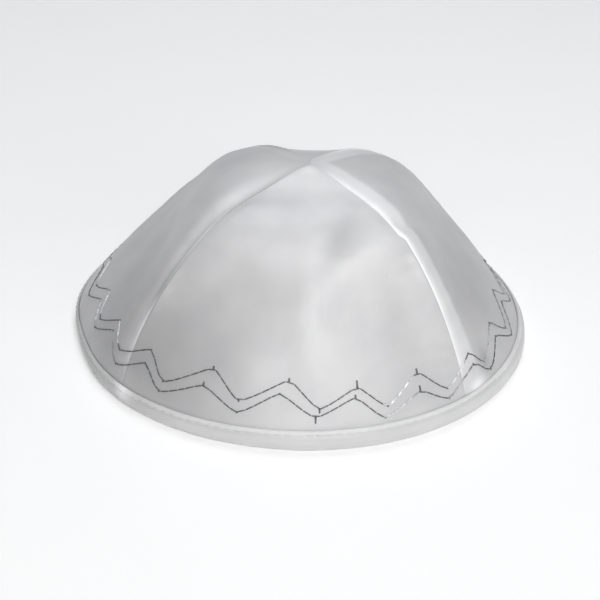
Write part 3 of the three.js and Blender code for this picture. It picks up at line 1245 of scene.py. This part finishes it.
@dataclass(frozen=True)
class Binding:
    """The tape folded round the hem and sewn down near its upper edges."""

    wall: float = 0.9
    cloth_gap: float = 0.12
    cloth_wall: float = 1.1
    fold_radius: float = 1.5
    flat_width: float = 20
    flat_length: float = 536
    columns_a_gore: int = 236
    face_rows: int = 22
    edge_steps: int = 6
    slot_heights: Triple = (4.5, 1.6, 0.95)
    inner_edge_steps: int = 5
    inner_rows: int = 6
    fold_steps: int = 4
    stitch_below_edge: float = 1.5
    groove: float = 0.28
    groove_width: float = 0.55
    puff: float = 0.3
    puff_power: float = 0.7
    scallop: float = 0.1
    scallop_below: float = 1
    scallop_fade: float = 1.5
    dimple: float = 0.16
    dimple_length: float = 9
    dimple_height: float = 5
    dimple_fade: float = 3
    line: float = 0.05
    line_turn: float = 2.6
    line_wander: float = 2
    line_length: float = 30
    line_shift: float = 4
    knuckle: RimSpot = RimSpot(-134.5, 2.6, 0.6)
    # The painted highlights on the knuckle and along the upper edge, and spots of painted shade and
    # light round the rim.
    knuckle_painted_highlight: float = 0.55
    edge_painted_highlight: float = 0.15
    edge_fade: float = 0.8
    painted_shade_and_light: tuple[RimSpot, ...] = (
        RimSpot(-172, 32, -0.24),
        RimSpot(-135, 14, -0.06),
        RimSpot(-30, 30, 0.06),
    )

    def face_offset(self, azimuth: float, height: float, top: float) -> float:
        """Shapes the outer face: its swell, groove, dimples, fine lines, knuckle and gathers.

        Args:
            azimuth: the place round the rim, in degrees.
            height: the height above the surface that the cap stands on, in mm.
            top: the height of the binding's upper edge there, in mm.

        Returns:
            How far the face stands off its smooth line, in mm.
        """
        stitch = top - self.stitch_below_edge
        arc = math.radians(azimuth) * CLOTH.rim_radius
        swell = self.puff * math.sin(math.pi * clamp_unit(height / stitch)) ** self.puff_power
        dip = self.groove * bell(height - stitch, self.groove_width)
        dimples = noise.noise(Vector((arc / self.dimple_length, height / self.dimple_height, 0.0)))
        dimples *= self.dimple * smooth_step(height / self.dimple_fade)
        wander = noise.noise(Vector((arc / self.line_length, 0.0, self.line_shift)))
        lines = self.line * math.sin(height * self.line_turn + self.line_wander * wander)
        knuckle = self.knuckle.at(azimuth) * smooth_step(height / stitch)
        gather = self.scallop * math.sin(2 * math.pi * arc / BindingStitches.pitch)
        gather *= smooth_step((height - stitch + self.scallop_below) / self.scallop_fade)
        return swell - dip + dimples + lines + knuckle + gather

    def tone(self, azimuth: float, height: float) -> float:
        """How light the tape looks: painted highlights above its stitches and on its knuckle, painted
        shade on its left and a little painted light at its front right.

        Args:
            azimuth: the place round the rim, in degrees.
            height: the height above the surface that the cap stands on, in mm.

        Returns:
            The factor of the tape's own tone.
        """
        stitch = CLOTH.binding_top(azimuth) - self.stitch_below_edge
        knuckle = self.knuckle.share(azimuth) * smooth_step(height / stitch)
        above = smooth_step((height - stitch) / self.edge_fade)
        # Painted shade on the left of the rim and a little painted light at its front right.
        shade = sum(spot.at(azimuth) for spot in self.painted_shade_and_light)
        return 1 + self.edge_painted_highlight * above + self.knuckle_painted_highlight * knuckle + shade

    def profile(self, azimuth: float) -> list[ProfilePoint]:
        """Draws the binding's closed section, from the outer fold up, over and round.

        Args:
            azimuth: the place round the rim, in degrees.

        Returns:
            The section's points, the first of them again at the end.
        """
        top = CLOTH.binding_top(azimuth)
        half, fold = self.wall / 2, self.fold_radius
        brow = top - half
        outer = self.cloth_gap + self.wall
        slot = -(self.cloth_wall + self.cloth_gap)
        inner = slot - self.wall
        points = []
        for row in range(self.face_rows + 1):
            height = mix(fold, brow, row / self.face_rows)
            points.append(ProfilePoint(outer + self.face_offset(azimuth, height, top), height))
        brink = points[-1].offset - outer
        for step in range(1, self.edge_steps):
            share = step / self.edge_steps
            edge = ProfilePoint(outer - half + brink * (1 - share), brow)
            points.append(edge.rounded(half, 180 * share))
        heights = (brow, *self.slot_heights)
        points += [ProfilePoint(self.cloth_gap, height) for height in heights]
        points += [ProfilePoint(slot, height) for height in reversed(heights)]
        for step in range(1, self.inner_edge_steps):
            edge = ProfilePoint(slot - half, brow)
            points.append(edge.rounded(half, 180 * step / self.inner_edge_steps))
        for row in range(self.inner_rows + 1):
            points.append(ProfilePoint(inner, mix(brow, fold, row / self.inner_rows)))
        turns = [90 * step / self.fold_steps for step in range(self.fold_steps + 1)]
        inner_fold, outer_fold = ProfilePoint(inner + fold, fold), ProfilePoint(outer - fold, fold)
        points += [inner_fold.rounded(fold, 180 + turn) for turn in turns[1:]]
        points += [outer_fold.rounded(fold, 270 + turn) for turn in turns[:-1]]
        return [*points, points[0]]

    def beside_cloth(self, gore: Gore, across: float, spot: ProfilePoint) -> Vector:
        """Places a point of the section beside the cloth.

        Args:
            gore: the gore that it lies on.
            across: the place across the gore.
            spot: the section's point.

        Returns:
            The place, in mm.
        """
        height = max(spot.height, SatinGore.hem_height)
        point = moved_out(CLOTH.point(gore, CLOTH.down_at_height(height), across), spot.offset)
        point.z = spot.height
        return point

    def build(self, material: bpy.types.Material) -> bpy.types.Object:
        """Builds the binding and puts it in place of its solid.

        Args:
            material: the tape's material.

        Returns:
            The piece.
        """
        gores = list(Gore)
        count = self.columns_a_gore * len(gores)
        sections = []
        for column in range(count):
            gore = gores[column // self.columns_a_gore]
            across = column % self.columns_a_gore / self.columns_a_gore
            azimuth = mix(CUTS[gore].first.azimuth, CUTS[gore].second.azimuth, across)
            profile = self.profile(azimuth)
            points = [self.beside_cloth(gore, across, spot) for spot in profile]
            tones = [self.tone(azimuth, spot.height) for spot in profile]
            sections.append((points, math.radians(azimuth) * CLOTH.rim_radius, tones))
        around = [0.0]
        for spot, following in zip(profile, profile[1:]):
            around.append(around[-1] + math.dist(spot, following))

        def place(column: int, row: int) -> ClothSpot:
            """The tape's spot at a column and a row, the last column being the first again."""
            points, arc, tones = sections[column % count]
            return ClothSpot(points[row], (arc, around[row]), tones[row])

        mesh = mapped_grid(count + 1, len(profile), place)
        piece = make_piece("binding", mesh, material, CLOTH_SHARP)
        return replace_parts(piece, "rim_band")


class StitchEnd(NamedTuple):
    """A needle hole: its point in mm, and the cloth's normal there."""

    point: Vector
    normal: Vector


@dataclass(frozen=True)
class Sewing:
    """Stitches and knots in one mesh, with the tone, painted glints included, that each of their
    points carries.
    """

    mesh: bmesh.types.BMesh = field(default_factory=bmesh.new)
    sides: int = 6
    knot_sides: int = 8
    rings: int = 6
    end_power: int = 10
    arch_power: int = 4
    end_lift: float = 0.1
    knot_sunk: float = 0.35

    def ball(self, sides: int, radius: float, tone: float) -> list[bmesh.types.BMVert]:
        """Adds a ball to be shaped.

        Args:
            sides: the number of its sides.
            radius: its radius.
            tone: how light it looks, where 1 is the thread's own tone and more is a painted glint.

        Returns:
            Its points.
        """
        tones = self.mesh.verts.layers.float
        layer = tones.get(TONE_AND_PAINTED_LIGHT) or tones.new(TONE_AND_PAINTED_LIGHT)
        made = bmesh.ops.create_uvsphere(
            self.mesh, u_segments=sides, v_segments=self.rings, radius=radius
        )
        for vertex in made["verts"]:
            vertex[layer] = tone
        return made["verts"]

    def stitch(
        self, start: StitchEnd, end: StitchEnd, radius: float, lift: float, tone: float = 1.0
    ) -> None:
        """Adds one stitch, a short thread that rises from one needle hole and sinks into the next.

        Args:
            start: its first needle hole.
            end: its second.
            radius: the thread's, in mm.
            lift: how far its middle stands above the cloth, in radii.
            tone: how light it looks, where 1 is the thread's own tone and more is a painted glint.
        """
        along = (end.point - start.point).normalized()
        up = (start.normal + end.normal).normalized()
        beside = up.cross(along).normalized()
        over = along.cross(beside)
        for vertex in self.ball(self.sides, 1.0, tone):
            x, y, z = vertex.co
            around = math.hypot(x, y)
            thick = radius * math.sqrt(max(1 - z**self.end_power, 0.0))
            height = mix(self.end_lift, lift, 1 - z**self.arch_power) * radius
            centre = start.point.lerp(end.point, (z + 1) / 2) + up * height
            if around > TINY:
                centre += (beside * x + over * y) * (thick / around)
            vertex.co = centre * MM

    def knot(self, hole: StitchEnd, radius: float) -> None:
        """Adds a small flat knot of thread.

        Args:
            hole: the needle hole under it.
            radius: its radius, in mm.
        """
        for vertex in self.ball(self.knot_sides, radius, 1.0):
            sunk = self.knot_sunk * vertex.co.dot(hole.normal)
            vertex.co = (hole.point + vertex.co - hole.normal * sunk) * MM


class Corner(NamedTuple):
    """A corner of a zigzag line on a gore, the length of its thread's end, and its leg's painted
    glint.

    The leg is the one after the corner. A thread's end points down where its length is negative.
    """

    down: float
    across: float
    tail: float = 0.0
    painted_glint: float = 0.0


class LinePoint(NamedTuple):
    """A point of a zigzag line: its gore's number plus the place across, its place down, its painted
    glint.
    """

    around: float
    down: float
    painted_glint: float


ZigzagLine = dict[Gore, tuple[Corner, ...]]


@dataclass(frozen=True)
class Zigzag:
    """The two parallel zigzag lines of silver thread that run round the cap above the binding."""

    lines: tuple[ZigzagLine, ...]
    stitch_length: float = 2.7
    radius: float = 0.245
    lift: float = 0.55
    knot_radius: float = 0.42
    tail_width: float = 1.3
    swing: float = 0.22
    points_a_leg: int = 24
    # How a leg's painted glint rises and falls along it, how much lighter it paints the thread, and
    # how much wider it draws it.
    painted_glint_power: float = 0.5
    painted_glint_tone: float = 6
    widest: float = 1.45

    def path(self, line: ZigzagLine) -> list[LinePoint]:
        """Runs a line through its corners, a little rounded, all round the cap.

        Args:
            line: the line's corners, gore by gore.

        Returns:
            The line's points, close together.
        """
        corners = [
            LinePoint(number + corner.across, corner.down, corner.painted_glint)
            for number, gore in enumerate(Gore)
            for corner in line[gore]
        ]
        count, lap = len(corners), len(Gore)
        path = []
        for index, start in enumerate(corners):
            before, after, beyond = (corners[(index + step) % count] for step in (-1, 1, 2))
            end = after.around + (lap if after.around < start.around else 0)
            early = before.around - (lap if before.around > start.around else 0)
            late = beyond.around + (lap if beyond.around < start.around else 0)
            late += lap if late < end else 0
            rounds = (start.around, (end - early) * self.swing)
            rounds += (end, (late - start.around) * self.swing)
            downs = (start.down, (after.down - before.down) * self.swing)
            downs += (after.down, (beyond.down - start.down) * self.swing)
            for step in range(self.points_a_leg):
                t = step / self.points_a_leg
                weights = curve_weights(t)
                around = sum(weight * value for weight, value in zip(weights, rounds))
                down = sum(weight * value for weight, value in zip(weights, downs))
                painted_glint = start.painted_glint * math.sin(math.pi * t) ** self.painted_glint_power
                path.append(LinePoint(around, down, painted_glint))
        return path

    def hole(self, place: LinePoint) -> StitchEnd:
        """Finds the needle hole at a point of the line.

        Args:
            place: the line's point.

        Returns:
            The hole.
        """
        around = place.around % len(Gore)
        gore = list(Gore)[int(around)]
        return StitchEnd(*CLOTH.surface(gore, place.down, around - int(around)))

    def build(self, material: bpy.types.Material) -> dict[Gore, bpy.types.Object]:
        """Sews both lines.

        Args:
            material: the silver thread's material.

        Returns:
            One piece of stitching for each gore.
        """
        sewing = {gore: Sewing() for gore in Gore}
        for line in self.lines:
            self.sew(line, sewing)
            for gore in Gore:
                for corner in line[gore]:
                    self.finish_corner(sewing[gore], gore, corner)
        return {
            gore: make_piece(
                f"zigzag_{gore.value}", sewn.mesh, material, THREAD_SHARP
            )
            for gore, sewn in sewing.items()
        }

    def sew(self, line: ZigzagLine, sewing: dict[Gore, Sewing]) -> None:
        """Sews one line, stitch by stitch.

        Args:
            line: the line.
            sewing: the stitches of each gore, which it adds to.
        """
        path = self.path(line)
        path.append(path[0]._replace(around=path[0].around + len(Gore)))
        start = previous = self.hole(path[0])
        travelled = 0.0
        for place in path[1:]:
            here = self.hole(place)
            travelled += (here.point - previous.point).length
            previous = here
            if travelled >= self.stitch_length or place is path[-1]:
                gore = list(Gore)[int(place.around % len(Gore))]
                # A glinting leg gets painted lighter and drawn wider.
                tone = mix(1.0, self.painted_glint_tone, place.painted_glint)
                radius = self.radius * mix(1.0, self.widest, place.painted_glint)
                sewing[gore].stitch(start, here, radius, self.lift, tone)
                start = here
                travelled = 0.0

    def finish_corner(self, sewing: Sewing, gore: Gore, corner: Corner) -> None:
        """Adds the knot at a corner, and the short bar of thread that stands on some of them.

        Args:
            sewing: the gore's stitches.
            gore: the gore.
            corner: the corner.
        """
        hole = StitchEnd(*CLOTH.surface(gore, corner.down, corner.across))
        sewing.knot(hole, self.knot_radius)
        if corner.tail:
            away = corner.down - corner.tail / CLOTH.side_length
            end = StitchEnd(*CLOTH.surface(gore, away, corner.across))
            sewing.stitch(hole, end, self.radius * self.tail_width, self.lift)


# A corner's fourth number is the painted glint on its leg.
UPPER_LINE = {
    Gore.FRONT: (
        Corner(0.696, 0.064), Corner(0.776, 0.134), Corner(0.702, 0.271, 0.8),
        Corner(0.778, 0.358), Corner(0.712, 0.488, 0.8), Corner(0.786, 0.572, -1.4),
        Corner(0.732, 0.676, 2.3), Corner(0.794, 0.756, 0, 1), Corner(0.714, 0.856, 1.4),
        Corner(0.788, 0.943, 0, 0.9),
    ),
    Gore.RIGHT: (
        Corner(0.708, 0.043), Corner(0.776, 0.115, 0, 0.6), Corner(0.71, 0.247, 0, 0.1),
        Corner(0.787, 0.333, 0, 0.3), Corner(0.707, 0.45, 0, 0.2), Corner(0.782, 0.53, 0, 0.4),
        Corner(0.71, 0.655), Corner(0.782, 0.74), Corner(0.712, 0.86, 1.6), Corner(0.78, 0.94),
    ),
    Gore.BACK: (
        Corner(0.71, 0.05), Corner(0.78, 0.135), Corner(0.708, 0.255, 1.2), Corner(0.783, 0.335),
        Corner(0.712, 0.46), Corner(0.784, 0.54, -1.5), Corner(0.711, 0.66, 1.8),
        Corner(0.782, 0.742), Corner(0.712, 0.86), Corner(0.78, 0.94),
    ),
    Gore.LEFT: (
        Corner(0.745, 0.03), Corner(0.79, 0.115), Corner(0.748, 0.235), Corner(0.787, 0.325),
        Corner(0.712, 0.44, 0, 1), Corner(0.76, 0.55), Corner(0.695, 0.672, 0, 0.8),
        Corner(0.766, 0.745), Corner(0.683, 0.883, 0, 0.8), Corner(0.75, 0.95),
    ),
}
LOWER_LINE = {
    Gore.FRONT: (
        Corner(0.742, 0.06), Corner(0.812, 0.13), Corner(0.754, 0.254, 1.2), Corner(0.812, 0.358),
        Corner(0.748, 0.465), Corner(0.81, 0.562, -2.2), Corner(0.76, 0.669, 1.0),
        Corner(0.829, 0.746, 0, 0.8), Corner(0.77, 0.856, 2.0), Corner(0.825, 0.943, 0, 0.5),
    ),
    Gore.RIGHT: (
        Corner(0.746, 0.047), Corner(0.819, 0.134), Corner(0.756, 0.241),
        Corner(0.819, 0.334, 0, 0.3), Corner(0.753, 0.445, 0, 0.2), Corner(0.816, 0.53, 0, 0.4),
        Corner(0.755, 0.652), Corner(0.817, 0.742), Corner(0.755, 0.855), Corner(0.815, 0.94),
    ),
    Gore.BACK: (
        Corner(0.75, 0.048), Corner(0.816, 0.134), Corner(0.752, 0.25), Corner(0.816, 0.337),
        Corner(0.75, 0.455), Corner(0.817, 0.54, -1.8), Corner(0.752, 0.655), Corner(0.816, 0.744),
        Corner(0.752, 0.857), Corner(0.816, 0.94),
    ),
    Gore.LEFT: (
        Corner(0.778, 0.032), Corner(0.82, 0.117), Corner(0.782, 0.235), Corner(0.82, 0.325),
        Corner(0.755, 0.44), Corner(0.8, 0.56), Corner(0.738, 0.668, 0, 0.8), Corner(0.8, 0.752),
        Corner(0.724, 0.876, 0, 0.35), Corner(0.805, 0.953),
    ),
}


@dataclass(frozen=True)
class BindingStitches:
    """The row of white stitches that holds the binding's upper edge down."""

    binding: Binding
    length: float = 2.3
    radius: float = 0.14
    lift: float = 0.3
    pitch: float = 3.4

    def hole(self, azimuth: float) -> StitchEnd:
        """Finds the needle hole at a place round the rim.

        Args:
            azimuth: the place, in degrees.

        Returns:
            The hole.
        """
        gore, across = gore_at(azimuth)
        top = CLOTH.binding_top(azimuth)
        height = top - self.binding.stitch_below_edge
        outer = self.binding.cloth_gap + self.binding.wall
        offset = outer + self.binding.face_offset(azimuth, height, top)
        point = self.binding.beside_cloth(gore, across, ProfilePoint(offset, height))
        return StitchEnd(point, level(math.degrees(math.atan2(point.y, point.x))))

    def build(self, material: bpy.types.Material) -> bpy.types.Object:
        """Sews the row all round the binding.

        Args:
            material: the sewing thread's material.

        Returns:
            The piece.
        """
        sewing = Sewing()
        count = round(math.tau * CLOTH.rim_radius / self.pitch)
        reach = math.degrees(self.length / CLOTH.rim_radius)
        for index in range(count):
            azimuth = 360 * index / count
            ends = self.hole(azimuth), self.hole(azimuth + reach)
            sewing.stitch(*ends, self.radius, self.lift)
        return make_piece(
            "binding_stitches", sewing.mesh, material, THREAD_SHARP
        )


def add_aimed(
    name: str, data: bpy.types.ID, place: Vector, aim: Triple, roll: float = 0.0
) -> bpy.types.Object:
    """Puts up a light or a camera that looks at a point.

    Args:
        name: its name.
        data: the light or the camera.
        place: where it stands, in metres.
        aim: the point that it looks at, in metres.
        roll: how far it is turned about its line of sight, in degrees.

    Returns:
        The object.
    """
    thing = bpy.data.objects.new(name, data)
    thing.location = place
    thing.rotation_mode = "QUATERNION"
    turned = Quaternion((0, 0, 1), math.radians(roll))
    thing.rotation_quaternion = (Vector(aim) - place).to_track_quat("-Z", "Y") @ turned
    bpy.context.scene.collection.objects.link(thing)
    return thing


@dataclass(frozen=True)
class AreaLight:
    """A soft square light that is aimed at a point, in metres and watts."""

    name: str
    place: Triple
    size: float
    power: float
    colour: Triple = WHITE
    aim: Triple = (0.0, 0.0, 0.0)

    def build(self) -> None:
        """Hangs the light."""
        data = bpy.data.lights.new(self.name, "AREA")
        data.shape = "SQUARE"
        data.size = self.size
        data.energy = self.power
        data.color = self.colour
        add_aimed(self.name, data, Vector(self.place), self.aim)


@dataclass(frozen=True)
class Studio:
    """The pale floor, the soft lights and the camera."""

    floor_radius: float = 1.4
    floor_sides: int = 96
    horizon: float = 0.97
    horizon_height: float = 0.18
    ceiling: float = 0.01
    camera_distance: float = 0.5
    camera_elevation: float = 30.541
    camera_roll: float = 1.887
    camera_lens: float = 78.3
    camera_sensor: float = 36
    camera_nearest: float = 0.01
    camera_farthest: float = 50
    camera_aim: Triple = (-0.0002, 0.0, 0.0089)
    lights: tuple[AreaLight, ...] = (
        AreaLight("key_light", (0.22, -1.0, 1.23), 0.8, 11.8),
        AreaLight("front_light", (0, -1.31, 0.92), 0.8, 4.8, (1.0, 0.99, 0.96)),
        AreaLight("side_light", (0.9, -1.25, 0.42), 0.8, 4, (1.0, 1.0, 0.98)),
        AreaLight("back_light", (0, 0.62, 1.47), 1.0, 10, (0.94, 0.96, 1.0)),
    )

    def build(self) -> None:
        """Sets up the floor, the world's light, the lights and the camera."""
        self.lay_floor()
        self.light_world()
        for light in self.lights:
            light.build()
        self.place_camera()
        bpy.context.scene.view_settings.view_transform = "Standard"

    def lay_floor(self) -> None:
        """Lays the round floor under the cap."""
        mesh = bmesh.new()
        bmesh.ops.create_circle(
            mesh, cap_ends=True, segments=self.floor_sides, radius=self.floor_radius
        )
        data = bpy.data.meshes.new("floor")
        mesh.to_mesh(data)
        mesh.free()
        data.materials.append(FloorFinish().material())
        floor = bpy.data.objects.new("floor", data)
        bpy.context.scene.collection.objects.link(floor)

    def light_world(self) -> None:
        """Surrounds the studio with a pale horizon that fades to a dim ceiling."""
        world = bpy.data.worlds.new("pale_surround")
        world.use_nodes = True
        nodes, links = world.node_tree.nodes, world.node_tree.links
        direction = nodes.new("ShaderNodeTexCoord")
        parts = nodes.new("ShaderNodeSeparateXYZ")
        fade = nodes.new("ShaderNodeMapRange")
        fade.inputs["From Max"].default_value = self.horizon_height
        fade.inputs["To Min"].default_value = self.horizon
        fade.inputs["To Max"].default_value = self.ceiling
        links.new(direction.outputs["Generated"], parts.inputs["Vector"])
        links.new(parts.outputs["Z"], fade.inputs["Value"])
        background = nodes["Background"]
        background.inputs["Color"].default_value = (*WHITE, 1.0)
        links.new(fade.outputs["Result"], background.inputs["Strength"])
        bpy.context.scene.world = world

    def place_camera(self) -> None:
        """Places the camera at the photograph's angle, rolled as it was held."""
        data = bpy.data.cameras.new("camera")
        data.lens = self.camera_lens
        data.sensor_width = self.camera_sensor
        data.clip_start = self.camera_nearest
        data.clip_end = self.camera_farthest
        lift = math.radians(self.camera_elevation)
        place = Vector((0, -math.cos(lift), math.sin(lift))) * self.camera_distance
        camera = add_aimed("camera", data, place, self.camera_aim, self.camera_roll)
        bpy.context.scene.camera = camera


def main() -> None:
    """Builds the cap, dresses it and sets up the studio."""
    logging.basicConfig(level=logging.INFO, format="%(name)s: %(message)s")
    satin = SATIN.material()
    gores = {gore: SatinGore(gore) for gore in Gore}
    cloths = {gore: sewn.build(satin) for gore, sewn in gores.items()}
    stitching = Zigzag(lines=(UPPER_LINE, LOWER_LINE)).build(SILVER.material())
    for gore, sewn in gores.items():
        log.info("%s gore sewn", gore.value)
    binding = Binding()
    tape = binding.build(TAPE.material())
    stitches = BindingStitches(binding).build(COTTON.material())
    log.info("binding sewn on")
    Studio().build()


if __name__ == "__main__":
    main()
